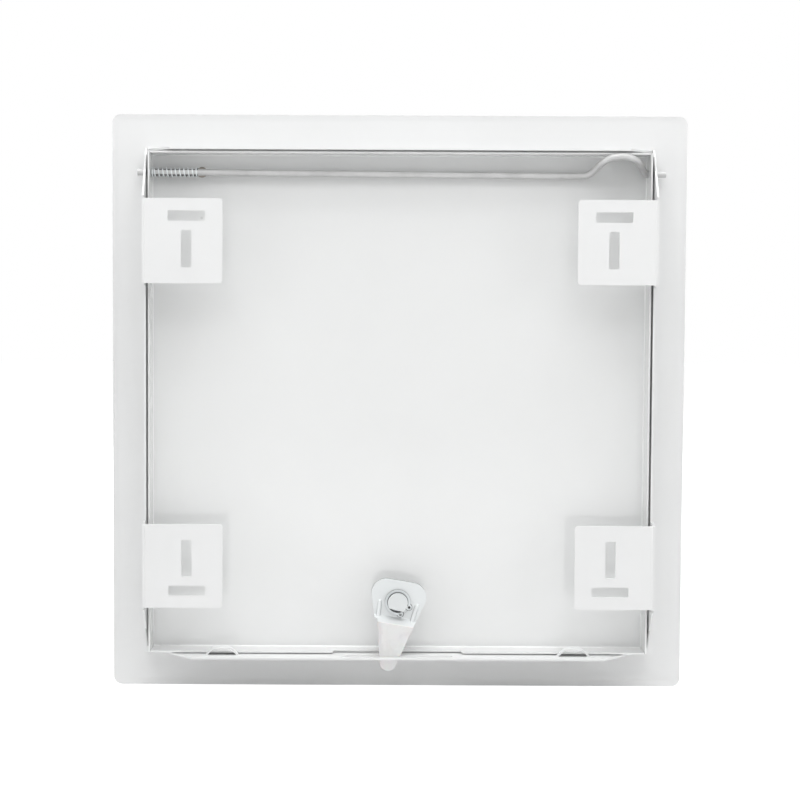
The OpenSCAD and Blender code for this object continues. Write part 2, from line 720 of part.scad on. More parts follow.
module latch_cam() color(zinc) at_latch() difference() {
    union() {
        intersection() {
            plate_from_behind(cam_y - over, cam_rise + cam_t + 2 * over) cam_outline();
            along_x(4 * cam_half) crank_profile();
        }
        for (side = [-1, 1]) cam_rib(side);
    }
    // hole with a flat that keys on the stud
    intersection() {
        translate([0, cam_y - over, 0]) rotate([-90, 0, 0])
            cylinder(r = stud_r + stud_clear, h = cam_t + 2 * over);
        rotate([0, cam_lean - flat_lean, 0])
            translate([-stud_d, cam_y - 2 * over, -stud_flat - stud_clear])
                cube([2 * stud_d, cam_t + 4 * over, 2 * stud_d]);
    }
}

module cam_sleeve() color(white_plastic) at_latch() difference() {
    intersection() {
        plate_from_behind(tongue_y - sleeve_wall, cam_t + 2 * sleeve_wall) tongue_outline(sleeve_wall);
        translate([-2 * cam_half, 0, -2 * tongue_reach])
            cube([4 * cam_half, 2 * frame_depth, 2 * tongue_reach + sleeve_top]);
    }
    plate_from_behind(tongue_y - touch, cam_t + 2 * touch) tongue_outline(touch);
    intersection() {
        plate_from_behind(tongue_y - 2 * sleeve_wall, 2 * sleeve_wall) tongue_outline(touch);
        translate([-2 * cam_half, 0, sleeve_front])
            cube([4 * cam_half, 2 * frame_depth, tongue_reach]);
    }
}

// The retaining ring seen from behind: open at the lower right, with an eared end at each side
module ring_outline() {
    inner = groove_r + touch;
    ear_c = (inner + ring_r) / 2 + 0.6;
    difference() {
        union() {
            difference() {
                circle(ring_r);
                rotate(ring_gap_mid) polygon([[0, 0], [2 * ring_r * cos(ring_gap_half), -2 * ring_r * sin(ring_gap_half)],
                    [2 * ring_r * cos(ring_gap_half), 2 * ring_r * sin(ring_gap_half)]]);
            }
            for (s = [-1, 1]) rotate(ring_gap_mid + s * ring_gap_half)
                translate([ear_c, 0]) circle(ear_boss_r);
        }
        circle(inner);
        for (s = [-1, 1]) rotate(ring_gap_mid + s * ring_gap_half)
            translate([ear_c + 0.3, 0]) circle(ear_hole_r);
    }
}

module retaining_ring() color(dark_steel)
    translate([0, 0, latch_z]) plate_from_behind(ring_y, ring_t) ring_outline();

module spacer_bush() color(zinc) difference() {
    stud_along_y(bush_y, cam_y - touch, bush_d / 2);
    stud_along_y(bush_y - over, cam_y + over, stud_r + stud_clear);
}

// Ring of points of the wave washer at radius r
function wave_points(r, lift, waves, steps) =
    [for (i = [0 : steps - 1]) let (a = 360 * i / steps)
        [r * cos(a), (wave_h - wave_t) / 2 * (1 + sin(waves * a)) + lift, r * sin(a)]];

module wave_washer() color(spring_steel) {
    steps = 48;
    waves = 3;
    inner = stud_r + 4 * stud_clear;
    outer = bush_d / 2;
    points = concat(wave_points(inner, 0, waves, steps), wave_points(outer, 0, waves, steps),
                    wave_points(outer, wave_t, waves, steps), wave_points(inner, wave_t, waves, steps));
    faces = [for (band = [0 : 3], i = [0 : steps - 1])
        let (n = (i + 1) % steps, a = band * steps, b = ((band + 1) % 4) * steps)
        each [[a + i, a + n, b + n], [a + i, b + n, b + i]]];
    translate([0, door_inner + touch / 2, latch_z]) polyhedron(points, faces, convexity = 4);
}

frame();
door();
hinge_rod();
rod_spring();
latch_stud();
latch_cam();
cam_sleeve();
retaining_ring();
spacer_bush();
wave_washer();
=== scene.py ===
"""Looks of a metal access panel, seen from behind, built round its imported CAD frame."""

import json
import logging
import math
from dataclasses import dataclass, field
from enum import Enum

import bmesh
import bpy
from mathutils import Matrix, Vector


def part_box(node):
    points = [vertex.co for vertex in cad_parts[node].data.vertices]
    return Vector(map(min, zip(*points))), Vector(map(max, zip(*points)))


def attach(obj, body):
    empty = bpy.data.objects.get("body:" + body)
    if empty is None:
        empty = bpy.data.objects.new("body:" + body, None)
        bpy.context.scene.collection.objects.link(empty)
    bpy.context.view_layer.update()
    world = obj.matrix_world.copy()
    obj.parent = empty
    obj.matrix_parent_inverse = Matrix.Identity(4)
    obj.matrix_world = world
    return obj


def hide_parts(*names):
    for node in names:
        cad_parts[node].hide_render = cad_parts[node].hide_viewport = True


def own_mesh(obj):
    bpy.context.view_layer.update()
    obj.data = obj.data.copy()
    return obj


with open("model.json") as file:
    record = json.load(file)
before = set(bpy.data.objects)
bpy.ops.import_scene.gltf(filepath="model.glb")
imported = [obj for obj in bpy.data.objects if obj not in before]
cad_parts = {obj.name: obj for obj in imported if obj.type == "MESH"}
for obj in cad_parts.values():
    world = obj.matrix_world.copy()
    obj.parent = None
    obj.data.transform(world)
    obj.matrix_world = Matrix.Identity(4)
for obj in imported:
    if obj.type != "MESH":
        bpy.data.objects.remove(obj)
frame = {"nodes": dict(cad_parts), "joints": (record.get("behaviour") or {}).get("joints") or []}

log = logging.getLogger("access_panel")

Triple = tuple[float, float, float]
Rgba = tuple[float, float, float, float]
Socket = bpy.types.NodeSocket
Node = bpy.types.Node
Material = bpy.types.Material

MM = 0.001
MERGE_GAP = 1e-6
FLAT_ANGLE = math.radians(0.2)
ORIGIN: Triple = (0.0, 0.0, 0.0)
WHITE: Rgba = (1.0, 1.0, 1.0, 1.0)


def millimetres(length: float) -> float:
    """Returns a length of the frame in mm, to the nearest 0.001, so that each run builds the same mesh."""
    return round(length / MM, 3)


def pivot(joint: str) -> Vector:
    """Returns the point that a joint turns about, in metres."""
    place = next(found["pos_m"] for found in frame["joints"] if found["name"] == joint)
    return Vector([millimetres(part) for part in place]) * MM


ROD_AXIS = pivot("door_hinge")
LATCH_AXIS = pivot("latch_turn")


class Body(Enum):
    """The rigid bodies that pieces ride on."""

    FRAME = "frame"
    DOOR = "door"
    ROD = "hinge_rod"
    LATCH = "latch"


class Slot(Enum):
    """The record's material slots."""

    FRAME_PAINT = "frame_paint"
    DOOR_PAINT = "door_paint"
    ROD_ZINC = "rod_zinc"
    SPRING_STEEL = "spring_steel"
    LATCH_ZINC = "latch_zinc"
    RING_STEEL = "ring_steel"
    SLEEVE_PLASTIC = "sleeve_plastic"


Paints = dict[Slot, Material]


class Graph:
    """Adds nodes and links to one node tree."""

    # The Mix node's sockets for colours: its factor, its two colours and its result.
    mix_inputs = (0, 6, 7)
    mix_output = 2

    def __init__(self, tree: bpy.types.NodeTree) -> None:
        """Starts an empty graph.

        Args:
            tree: The node tree to fill. Its present nodes are removed.
        """
        self.tree = tree
        tree.nodes.clear()

    def feed(self, socket: Socket, value: object) -> None:
        """Links or sets an input.

        Args:
            socket: The input socket.
            value: The socket that is linked to it, or the plain value that it gets.
        """
        if isinstance(value, bpy.types.NodeSocket):
            self.tree.links.new(value, socket)
        else:
            socket.default_value = value

    def add(self, kind: str, settings: dict | None = None, **inputs: object) -> Node:
        """Adds one node.

        Args:
            kind: The node's type name, such as ShaderNodeTexNoise.
            settings: Properties of the node itself.
            **inputs: What feeds its input sockets, by name, with _ for a space.

        Returns:
            The new node.
        """
        node = self.tree.nodes.new(kind)
        for key, value in (settings or {}).items():
            setattr(node, key, value)
        for key, value in inputs.items():
            name = key.replace("_", " ")
            self.feed(next(s for s in node.inputs if s.name == name and s.enabled), value)
        return node

    def math(self, operation: str, *values: object) -> Socket:
        """Adds a Math node.

        Args:
            operation: The operation's name, such as MULTIPLY.
            *values: Its inputs in order, sockets or numbers.

        Returns:
            The result's socket.
        """
        node = self.add("ShaderNodeMath", {"operation": operation})
        for socket, value in zip(node.inputs, values):
            self.feed(socket, value)
        return node.outputs[0]

    def vectors(self, operation: str, first: object, second: object) -> Socket:
        """Adds a Vector Math node.

        Args:
            operation: The operation's name, such as SUBTRACT.
            first: The first vector, a socket or three numbers.
            second: The second vector, a socket or three numbers.

        Returns:
            The result's socket.
        """
        node = self.add("ShaderNodeVectorMath", {"operation": operation}, Vector=first)
        self.feed(node.inputs[1], second)
        return node.outputs[0]

    def mix(self, share: object, first: object, second: object) -> Socket:
        """Adds a node that mixes two colours.

        Args:
            share: How much of the second colour there is, a socket or a number.
            first: The first colour, a socket or four numbers.
            second: The second colour, a socket or four numbers.

        Returns:
            The mixed colour's socket.
        """
        node = self.add("ShaderNodeMix", {"data_type": "RGBA"})
        for index, value in zip(self.mix_inputs, (share, first, second)):
            self.feed(node.inputs[index], value)
        return node.outputs[self.mix_output]

    def ramp(self, value: Socket, low: object, high: object, start: float = 0.0, end: float = 1.0,
             shape: str = "SMOOTHSTEP") -> Socket:
        """Adds a Map Range node.

        Args:
            value: What is mapped.
            low: Where the ramp starts, a socket or a number.
            high: Where the ramp ends, a socket or a number.
            start: The result up to low.
            end: The result from high on.
            shape: How the result goes from start to end.

        Returns:
            The result's socket.
        """
        node = self.add("ShaderNodeMapRange", {"interpolation_type": shape}, Value=value, From_Min=low,
                        From_Max=high, To_Min=start, To_Max=end)
        return node.outputs[0]

    def between(self, value: Socket, low: float, high: float) -> Socket:
        """Adds a test of whether a value lies between two limits.

        Args:
            value: The value.
            low: The lower limit.
            high: The upper limit.

        Returns:
            1 between the limits and 0 elsewhere.
        """
        above, below = self.math("GREATER_THAN", value, low), self.math("LESS_THAN", value, high)
        return self.math("MULTIPLY", above, below)

    def split(self, vector: Socket) -> tuple[Socket, Socket, Socket]:
        """Returns the sockets of a vector's X, Y and Z."""
        return tuple(self.add("ShaderNodeSeparateXYZ", Vector=vector).outputs)

    def hypotenuse(self, across: Socket, up: Socket) -> Socket:
        """Returns the length of two offsets at right angles to each other."""
        square = self.math("ADD", self.math("MULTIPLY", across, across), self.math("MULTIPLY", up, up))
        return self.math("SQRT", square)


class Effect:
    """A shader node group that several materials share."""

    name = "effect"
    inputs: dict[str, float | Triple] = {}
    outputs: tuple[str, ...] = ()

    def __init__(self) -> None:
        """Builds the group with its named sockets."""
        self.group = bpy.data.node_groups.new(self.name, "ShaderNodeTree")
        for label, value in self.inputs.items():
            kind = "NodeSocketFloat" if isinstance(value, float) else "NodeSocketVector"
            socket = self.group.interface.new_socket(name=label, in_out="INPUT", socket_type=kind)
            socket.default_value = value
        for label in self.outputs:
            self.group.interface.new_socket(name=label, in_out="OUTPUT", socket_type="NodeSocketFloat")
        graph = Graph(self.group)
        entry = graph.add("NodeGroupInput")
        leave = graph.add("NodeGroupOutput")
        for label, socket in self.fill(graph, entry).items():
            graph.feed(leave.inputs[label], socket)

    def fill(self, graph: Graph, entry: Node) -> dict[str, Socket]:
        """Adds the group's own nodes.

        Args:
            graph: The group's graph.
            entry: The group's input node.

        Returns:
            The sockets that feed the group's outputs, by output name.
        """
        raise NotImplementedError

    def place(self, graph: Graph, **values: object) -> Node:
        """Places the group in a material.

        Args:
            graph: The material's graph.
            **values: What feeds the group's inputs, as Graph.add takes them.

        Returns:
            The group's node.
        """
        node = graph.add("ShaderNodeGroup", {"node_tree": self.group})
        for key, value in values.items():
            graph.feed(node.inputs[key.replace("_", " ")], value)
        return node


class OrangePeel(Effect):
    """The fine waviness of cured powder paint, with a few specks of dust in it."""

    name = "orange_peel"
    inputs = {"Vector": ORIGIN, "Cells per metre": 700.0}
    outputs = ("Height", "Specks")
    fine_share = 0.6
    broad_share = 0.4
    broad_cells = 0.12
    speck_cells = 0.09
    speck_edge = (0.035, 0.06)
    speck_rarity = 0.965

    def fill(self, graph: Graph, entry: Node) -> dict[str, Socket]:
        """Adds the paint's waves and specks.

        Args:
            graph: The group's graph.
            entry: The group's input node.

        Returns:
            The waves' height from 0 to 1, and the specks' mask.
        """
        place, cells = entry.outputs["Vector"], entry.outputs["Cells per metre"]
        fine = graph.add("ShaderNodeTexNoise", Vector=place, Scale=cells, Detail=1.5, Roughness=0.4)
        broad = graph.add("ShaderNodeTexNoise", Vector=place, Detail=2.0,
                          Scale=graph.math("MULTIPLY", cells, self.broad_cells))
        dust = graph.add("ShaderNodeTexVoronoi", Vector=place,
                         Scale=graph.math("MULTIPLY", cells, self.speck_cells))
        near = graph.ramp(dust.outputs["Distance"], *self.speck_edge, 1.0, 0.0, "LINEAR")
        chance = graph.add("ShaderNodeSeparateColor", Color=dust.outputs["Color"])
        rare = graph.math("GREATER_THAN", chance.outputs[0], self.speck_rarity)
        height = graph.math("ADD", graph.math("MULTIPLY", fine.outputs[0], self.fine_share),
                            graph.math("MULTIPLY", broad.outputs[0], self.broad_share))
        return {"Height": height, "Specks": graph.math("MULTIPLY", near, rare)}


class Smudges(Effect):
    """Soft cloudy patches, such as handling marks and uneven plating."""

    name = "smudges"
    inputs = {"Vector": ORIGIN, "Patches per metre": 20.0, "Cover": 0.5, "Softness": 0.2}
    outputs = ("Mask",)

    def fill(self, graph: Graph, entry: Node) -> dict[str, Socket]:
        """Adds cloudy noise and a soft threshold on it.

        Args:
            graph: The group's graph.
            entry: The group's input node.

        Returns:
            The patches' mask.
        """
        noise = graph.add("ShaderNodeTexNoise", Vector=entry.outputs["Vector"], Detail=4.0,
                          Scale=entry.outputs["Patches per metre"], Roughness=0.55, Distortion=0.6)
        cover, softness = entry.outputs["Cover"], entry.outputs["Softness"]
        low = graph.math("SUBTRACT", cover, softness)
        high = graph.math("ADD", cover, softness)
        return {"Mask": graph.ramp(noise.outputs[0], low, high)}


class DrawnLines(Effect):
    """Fine lines along the piece's X, as drawing or rolling leaves them."""

    name = "drawn_lines"
    inputs = {"Vector": ORIGIN, "Lines per metre": 2500.0}
    outputs = ("Height",)
    stretch = (0.02, 1.0, 1.0)

    def fill(self, graph: Graph, entry: Node) -> dict[str, Socket]:
        """Adds noise stretched along the piece's X. Args and Returns are those of Effect.fill."""
        stretched = graph.vectors("MULTIPLY", entry.outputs["Vector"], self.stretch)
        noise = graph.add("ShaderNodeTexNoise", Vector=stretched, Scale=entry.outputs["Lines per metre"],
                          Detail=2.0)
        return {"Height": noise.outputs[0]}


class RodDistance(Effect):
    """Where a point lies on the hinge rod: its distance from the rod's axis and its place along it."""

    name = "rod_distance"
    inputs = {"Vector": ORIGIN}
    outputs = ("Distance", "Along")

    def fill(self, graph: Graph, entry: Node) -> dict[str, Socket]:
        """Adds the offset from the rod's axis. Args and Returns are those of Effect.fill."""
        along, across, up = graph.split(graph.vectors("SUBTRACT", entry.outputs["Vector"], ROD_AXIS))
        return {"Distance": graph.hypotenuse(across, up), "Along": along}


class LatchDistance(Effect):
    """How far a point lies from a line parallel to the latch's axis, X and Z away from it."""

    name = "latch_distance"
    inputs = {"Vector": ORIGIN, "X": 0.0, "Z": 0.0}
    outputs = ("Distance",)

    def fill(self, graph: Graph, entry: Node) -> dict[str, Socket]:
        """Adds the two offsets from the line. Args and Returns are those of Effect.fill."""
        x, _, z = graph.split(graph.vectors("SUBTRACT", entry.outputs["Vector"], LATCH_AXIS))
        across = graph.math("SUBTRACT", x, entry.outputs["X"])
        up = graph.math("SUBTRACT", z, entry.outputs["Z"])
        return {"Distance": graph.hypotenuse(across, up)}


class FacesBack(Effect):
    """How squarely a face looks out of the panel's back, however the piece is turned."""

    name = "faces_back"
    inputs = {"From": 0.3, "To": 0.6}
    outputs = ("Mask", "Either")

    def fill(self, graph: Graph, entry: Node) -> dict[str, Socket]:
        """Adds soft thresholds on the object-space normal.

        Args:
            graph: The group's graph.
            entry: The group's input node.

        Returns:
            The mask of the faces that look out of the back, and of those that look out of back or front.
        """
        world = graph.add("ShaderNodeNewGeometry").outputs["True Normal"]
        spaces = {"vector_type": "NORMAL", "convert_from": "WORLD", "convert_to": "OBJECT"}
        _, outward, _ = graph.split(graph.add("ShaderNodeVectorTransform", spaces, Vector=world).outputs[0])
        low, high = entry.outputs["From"], entry.outputs["To"]
        return {"Mask": graph.ramp(outward, low, high),
                "Either": graph.ramp(graph.math("ABSOLUTE", outward), low, high)}


class BoxPatch(Effect):
    """A soft-edged box, and its twin on the other side of the panel's middle."""

    name = "box_patch"
    inputs = {"Vector": ORIGIN, "Centre": ORIGIN, "Half": ORIGIN, "Blur": 0.4 * MM}
    outputs = ("Mask",)

    def fill(self, graph: Graph, entry: Node) -> dict[str, Socket]:
        """Adds the distance outside the box and a soft threshold on it.

        Args:
            graph: The group's graph.
            entry: The group's input node.

        Returns:
            The box's mask.
        """
        x, y, z = graph.split(entry.outputs["Vector"])
        place = (graph.math("ABSOLUTE", x), y, z)
        centres, halves = graph.split(entry.outputs["Centre"]), graph.split(entry.outputs["Half"])
        outside = []
        for along, centre, half in zip(place, centres, halves):
            offset = graph.math("ABSOLUTE", graph.math("SUBTRACT", along, centre))
            outside.append(graph.math("SUBTRACT", offset, half))
        beyond = graph.math("MAXIMUM", graph.math("MAXIMUM", outside[0], outside[1]), outside[2])
        blur = entry.outputs["Blur"]
        return {"Mask": graph.ramp(beyond, graph.math("MULTIPLY", blur, -1.0), blur, 1.0, 0.0)}


@dataclass
class Effects:
    """The shared node groups."""

    peel: OrangePeel = field(default_factory=OrangePeel)
    smudges: Smudges = field(default_factory=Smudges)
    lines: DrawnLines = field(default_factory=DrawnLines)
    rod: RodDistance = field(default_factory=RodDistance)
    latch: LatchDistance = field(default_factory=LatchDistance)
    back: FacesBack = field(default_factory=FacesBack)
    box: BoxPatch = field(default_factory=BoxPatch)


@dataclass(frozen=True)
class Finish:
    """A finish: its colour, gloss and texture."""

    name: str
    colour: Triple
    roughness: float

    def tinted(self, factor: float = 1.0) -> Rgba:
        """Returns the finish's colour, made lighter or darker by a factor."""
        return (*(min(1.0, part * factor) for part in self.colour), 1.0)

    def material(self, effects: Effects) -> Material:
        """Builds the material.

        Args:
            effects: The shared node groups.

        Returns:
            The new material.
        """
        made = bpy.data.materials.new(self.name)
        made.use_nodes = True
        graph = Graph(made.node_tree)
        place = graph.add("ShaderNodeTexCoord").outputs["Object"]
        shader = graph.add("ShaderNodeBsdfPrincipled")
        self.dress(graph, place, shader, effects)
        graph.add("ShaderNodeOutputMaterial", Surface=shader.outputs[0])
        return made

    def dress(self, graph: Graph, place: Socket, shader: Node, effects: Effects) -> None:
        """Feeds the shader.

        Args:
            graph: The material's graph.
            place: Object coordinates in metres.
            shader: The Principled BSDF.
            effects: The shared node groups.
        """
        raise NotImplementedError

    def bump(self, graph: Graph, shader: Node, height: Socket, depth: float) -> None:
        """Feeds a height to the shader's normal.

        Args:
            graph: The material's graph.
            shader: The Principled BSDF.
            height: The height, from 0 to 1.
            depth: The real depth of the texture, in metres.
        """
        relief = graph.add("ShaderNodeBump", Height=height, Distance=depth, Strength=1.0)
        graph.feed(shader.inputs["Normal"], relief.outputs[0])


@dataclass(frozen=True)
class ShadePatch:
    """A box-shaped patch of painted shade on the paint, the same on both sides of the panel's middle."""

    centre: Triple
    half: Triple
    blur: float
    tint: float


@dataclass(frozen=True)
class PowderPaint(Finish):
    """White powder paint on steel sheet."""

    gloss: float = 0.2
    gloss_roughness: float = 0.06
    peel_depth: float = 0.012 * MM
    smudge_tint: float = 0.975
    smudge_roughness: float = 0.06
    speck_tint: float = 0.85
    darkened_patches: tuple[ShadePatch, ...] = ()
    shade_patch_least: float = 0.75

    def dress(self, graph: Graph, place: Socket, shader: Node, effects: Effects) -> None:
        """Paints: even colour, faint smudges, specks, patchy painted shade and orange peel.

        Args:
            graph: The material's graph.
            place: Object coordinates in metres.
            shader: The Principled BSDF.
            effects: The shared node groups.
        """
        peel = effects.peel.place(graph, Vector=place, Cells_per_metre=650.0)
        cloud = effects.smudges.place(graph, Vector=place, Patches_per_metre=9.0, Cover=0.55,
                                      Softness=0.2).outputs["Mask"]
        worn = graph.mix(cloud, self.tinted(), self.tinted(self.smudge_tint))
        shown = graph.mix(peel.outputs["Specks"], worn, self.tinted(self.speck_tint))
        # Painted shade: each patch darkens the paint, and the smudges make it patchy.
        for shade_patch in self.darkened_patches:
            patchy = graph.math("MULTIPLY_ADD", cloud, 1.0 - self.shade_patch_least, self.shade_patch_least)
            box = effects.box.place(graph, Vector=place, Centre=shade_patch.centre, Half=shade_patch.half,
                                    Blur=shade_patch.blur).outputs["Mask"]
            shown = graph.mix(graph.math("MULTIPLY", box, patchy), shown, self.tinted(shade_patch.tint))
        graph.feed(shader.inputs["Base Color"], shown)
        rough = graph.math("MULTIPLY_ADD", cloud, self.smudge_roughness, self.roughness)
        graph.feed(shader.inputs["Roughness"], rough)
        shader.inputs["Coat Weight"].default_value = self.gloss
        shader.inputs["Coat Roughness"].default_value = self.gloss_roughness
        self.bump(graph, shader, peel.outputs["Height"], self.peel_depth)


@dataclass(frozen=True)
class ZincPlate(Finish):
    """Zinc plate, cloudy, over pressed or turned steel."""

    metallic: float = 0.85
    cloud_tint: float = 0.86
    cloud_roughness: float = 0.12
    grain_depth: float = 0.006 * MM
    side_shade_tint: float = 1.0

    def dress(self, graph: Graph, place: Socket, shader: Node, effects: Effects) -> None:
        """Plates: cloudy colour and roughness, and fine lines.

        Args:
            graph: The material's graph.
            place: Object coordinates in metres.
            shader: The Principled BSDF.
            effects: The shared node groups.
        """
        cloud = effects.smudges.place(graph, Vector=place, Patches_per_metre=60.0, Cover=0.5,
                                      Softness=0.25).outputs["Mask"]
        colour = graph.mix(cloud, self.tinted(), self.tinted(self.cloud_tint))
        graph.feed(shader.inputs["Base Color"], self.shade(graph, place, colour, effects))
        rough = graph.math("MULTIPLY_ADD", cloud, self.cloud_roughness, self.roughness)
        graph.feed(shader.inputs["Roughness"], rough)
        shader.inputs["Metallic"].default_value = self.metallic
        lines = effects.lines.place(graph, Vector=place, Lines_per_metre=3000.0)
        self.bump(graph, shader, lines.outputs["Height"], self.grain_depth)

    def shade(self, graph: Graph, place: Socket, colour: Socket, effects: Effects) -> Socket:
        """Darkens the sides with painted shade.

        Args:
            graph: The material's graph.
            place: Object coordinates in metres.
            colour: The plating's colour.
            effects: The shared node groups.

        Returns:
            The colour to show.
        """
        if self.side_shade_tint == 1.0:
            return colour
        # Painted shade on the sides: the faces that look neither out of the back nor out of the front.
        flat = effects.back.place(graph, From=0.2, To=0.5).outputs["Either"]
        return graph.mix(flat, self.tinted(self.side_shade_tint), colour)


@dataclass(frozen=True)
class Spot:
    """A round patch on the latch, X and Z away from its axis, or a ring if it has an inner radius."""

    x: float
    z: float
    outer: float
    tint: float
    inner: float = -1.0


@dataclass(frozen=True)
class LatchPlate(ZincPlate):
    """Zinc plate on the latch, with round darker patches: painted shade, and the stud face's darker tone.
    """

    spots: tuple[Spot, ...] = ()
    blur: float = 0.12 * MM

    def shade(self, graph: Graph, place: Socket, colour: Socket, effects: Effects) -> Socket:
        """Darkens the sides with painted shade, and the patches on the faces that look out of the back.

        Args:
            graph: The material's graph.
            place: Object coordinates in metres.
            colour: The plating's colour.
            effects: The shared node groups.

        Returns:
            The colour to show.
        """
        colour = super().shade(graph, place, colour, effects)
        back = effects.back.place(graph, From=0.2, To=0.5).outputs["Mask"]
        # The spots darken the faces that look out of the back: painted shade, and the stud face's darker
        # tone.
        for spot in self.spots:
            away = effects.latch.place(graph, Vector=place, X=spot.x, Z=spot.z).outputs["Distance"]
            inside = graph.ramp(away, spot.outer - self.blur, spot.outer + self.blur, 1.0, 0.0)
            outside = graph.ramp(away, spot.inner - self.blur, spot.inner + self.blur)
            ring = graph.math("MULTIPLY", inside, outside)
            colour = graph.mix(graph.math("MULTIPLY", ring, back), colour, self.tinted(spot.tint))
        return colour


@dataclass(frozen=True)
class SpringWire(ZincPlate):
    """Spring wire, with painted shade on the inner side of its turns, towards the rod."""

    inner_shade_tint: float = 0.2
    inner: float = 2.3 * MM
    outer: float = 2.95 * MM

    def shade(self, graph: Graph, place: Socket, colour: Socket, effects: Effects) -> Socket:
        """Darkens the wire towards the rod with painted shade. Args and Returns are those of
        ZincPlate.shade.
        """
        # Painted shade on the wire's inner side, towards the rod.
        away = effects.rod.place(graph, Vector=place).outputs["Distance"]
        return graph.mix(graph.ramp(away, self.inner, self.outer), self.tinted(self.inner_shade_tint), colour)


@dataclass(frozen=True)
class RodWire(ZincPlate):
    """Zinc wire, with painted shade round its limb inside the spring and painted light on its middle there,
    and dark faces on the swaged ears.
    """

    limb_shade_tint: float = 0.2
    lit_middle_tint: float = 1.2
    sprung: tuple[float, float] = (121.0 * MM, 149.0 * MM)
    ears: tuple[float, float] = (114.0 * MM, 121.5 * MM)
    ears_out: float = 2.15 * MM
    ear_face_colour: Triple = (0.2, 0.18, 0.16)

    def shade(self, graph: Graph, place: Socket, colour: Socket, effects: Effects) -> Socket:
        """Darkens the ears' faces, paints shade on the wire's limb inside the spring, and paints light on
        its middle there.

        Args:
            graph: The material's graph.
            place: Object coordinates in metres.
            colour: The plating's colour.
            effects: The shared node groups.

        Returns:
            The colour to show.
        """
        rod = effects.rod.place(graph, Vector=place)
        along, out = rod.outputs["Along"], rod.outputs["Distance"]
        # Painted shade on the limb inside the spring, and painted light on the middle there.
        limb = graph.math("SUBTRACT", 1.0, effects.back.place(graph, From=0.55, To=0.9).outputs["Mask"])
        within = graph.between(along, *self.sprung)
        middle_lit = graph.mix(within, colour, self.tinted(self.lit_middle_tint))
        limb_shaded = graph.mix(graph.math("MULTIPLY", within, limb), middle_lit, self.tinted(self.limb_shade_tint))
        ear = graph.math("MULTIPLY", graph.between(along, *self.ears),
                         graph.math("GREATER_THAN", out, self.ears_out))
        face = graph.math("MULTIPLY", ear, effects.back.place(graph, From=0.75, To=0.9).outputs["Mask"])
        return graph.mix(face, limb_shaded, (*self.ear_face_colour, 1.0))


@dataclass(frozen=True)
class MouldedPlastic(Finish):
    """Soft white plastic, slightly see-through where it is thin."""

    stain_tint: float = 0.9
    crease_depth: float = 0.2 * MM
    crease_lean: float = 9.5
    creases_per_metre: Triple = (260.0, 60.0, 28.0)
    streak_edge: tuple[float, float] = (0.5, 0.66)
    glow: float = 0.15
    glow_depth: float = 1.0 * MM

    def dress(self, graph: Graph, place: Socket, shader: Node, effects: Effects) -> None:
        """Moulds: long soft creases with grime in them, and faint stains.

        Args:
            graph: The material's graph.
            place: Object coordinates in metres.
            shader: The Principled BSDF.
            effects: The shared node groups.
        """
        turned = graph.add("ShaderNodeMapping", Vector=place, Scale=self.creases_per_metre,
                           Rotation=(0.0, math.radians(self.crease_lean), 0.0))
        folds = graph.add("ShaderNodeTexNoise", Vector=turned.outputs[0], Scale=1.0, Detail=2.0).outputs[0]
        streaks = graph.ramp(folds, *self.streak_edge)
        darkened_patches = effects.smudges.place(graph, Vector=place, Patches_per_metre=110.0, Cover=0.58,
                                       Softness=0.12).outputs["Mask"]
        grime = graph.math("MAXIMUM", darkened_patches, streaks)
        colour = graph.mix(grime, self.tinted(), self.tinted(self.stain_tint))
        graph.feed(shader.inputs["Base Color"], colour)
        shader.inputs["Roughness"].default_value = self.roughness
        shader.inputs["Subsurface Weight"].default_value = self.glow
        shader.inputs["Subsurface Scale"].default_value = self.glow_depth
        self.bump(graph, shader, folds, self.crease_depth)


@dataclass(frozen=True)
class Palette:
    """The object's finishes, each named as its slot is."""

    # The patches are painted shade, in the gap between wall and door and in the pockets of the door stops.
    frame_paint: PowderPaint = PowderPaint(
        "white_powder_frame", (0.76, 0.765, 0.765), 0.42, gloss=0.15, darkened_patches=(
            ShadePatch((151.0 * MM, 11.5 * MM, 0.0), (0.6 * MM, 5.0 * MM, 148.0 * MM), 0.6 * MM, 0.32),
            ShadePatch((105.5 * MM, 12.0 * MM, -151.2 * MM), (8.5 * MM, 4.6 * MM, 1.4 * MM), 0.5 * MM, 0.25),
        ))
    door_paint: PowderPaint = PowderPaint("white_powder_door", (0.75, 0.757, 0.755), 0.35, gloss=1.0)
    rod_zinc: RodWire = RodWire("zinc_wire", (0.52, 0.52, 0.52), 0.5, metallic=0.4)
    spring_steel: SpringWire = SpringWire("spring_wire", (0.8, 0.83, 0.84), 0.3, metallic=0.5)
    # The spots are painted shade round the ring and its two ears and in the hole of one ear, and a darker
    # tone on the stud's face.
    latch_zinc: LatchPlate = LatchPlate(
        "blue_white_zinc", (0.65, 0.672, 0.676), 0.42, metallic=0.3, cloud_tint=0.97, side_shade_tint=0.3, spots=(
            Spot(0.0, 0.0, 7.9 * MM, 0.7, inner=7.65 * MM),
            Spot(-6.6 * MM, -2.94 * MM, 2.25 * MM, 0.25, inner=1.8 * MM),
            Spot(-1.5 * MM, -7.06 * MM, 2.25 * MM, 0.2, inner=1.8 * MM),
            Spot(0.0, 0.0, 5.7 * MM, 0.9),
            Spot(-6.87 * MM, -3.06 * MM, 0.8 * MM, 0.1),
        ))
    # The spot is the ring's inner edge, in the shadow of the stud.
    ring_steel: LatchPlate = LatchPlate(
        "spring_steel_ring", (0.66, 0.69, 0.7), 0.42, metallic=0.35, side_shade_tint=0.08,
        spots=(Spot(0.0, 0.0, 6.3 * MM, 0.1),))
    sleeve_plastic: MouldedPlastic = MouldedPlastic("white_sleeve", (0.72, 0.72, 0.718), 0.45)

    def paints(self) -> Paints:
        """Builds the shared node groups and each slot's material.

        Returns:
            The materials by slot.
        """
        effects = Effects()
        return {slot: getattr(self, slot.value).material(effects) for slot in Slot}


